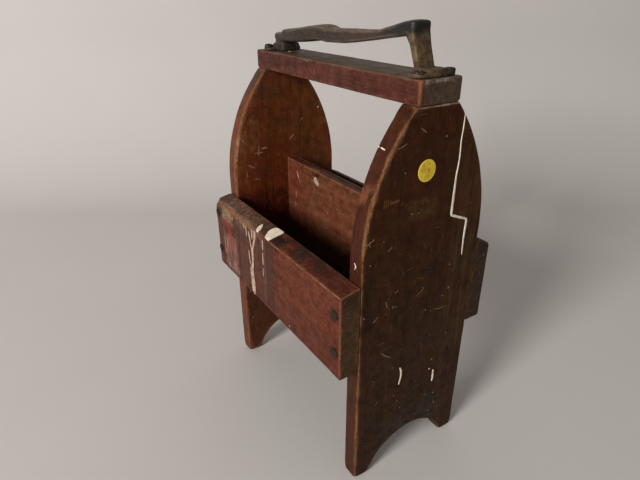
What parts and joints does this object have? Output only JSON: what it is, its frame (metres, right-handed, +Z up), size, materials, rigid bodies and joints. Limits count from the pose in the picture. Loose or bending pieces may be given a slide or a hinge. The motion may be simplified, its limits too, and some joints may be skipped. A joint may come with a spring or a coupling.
{
  "type": "shoe-shine stand",
  "caption": "Wooden shoe-shine stand with arched end boards, open divided box, top rail and a cast-iron foot rest that is also the carrying handle.",
  "frame": {"origin": "middle of the footprint, on the floor under the feet", "axes": "+X along the top rail towards the end with the toe of the foot rest, +Y across the stand, +Z up"},
  "size_m": [0.281, 0.192, 0.4569],
  "materials": {
    "dark_painted_wood": "worn dark brown paint",
    "red_painted_wood": "worn red-brown paint",
    "cast_iron": "dark patina, polished by handling",
    "fastener_steel": "blackened and rusty",
    "label_paper": "plain yellow adhesive label"
  },
  "bodies": {
    "root": {"near_end_board": "dark_painted_wood", "far_end_board": "dark_painted_wood", "front_side_board": "red_painted_wood", "back_side_board": "red_painted_wood", "floor_board": "red_painted_wood", "divider_board": "red_painted_wood", "top_rail": "red_painted_wood", "foot_rest": "cast_iron", "foot_rest_screws": "fastener_steel", "front_board_nails": "fastener_steel", "back_board_nails": "fastener_steel", "rail_nails": "fastener_steel", "floor_nails": "fastener_steel", "divider_nails": "fastener_steel", "round_label": "label_paper"}
  },
  "joints": []
}
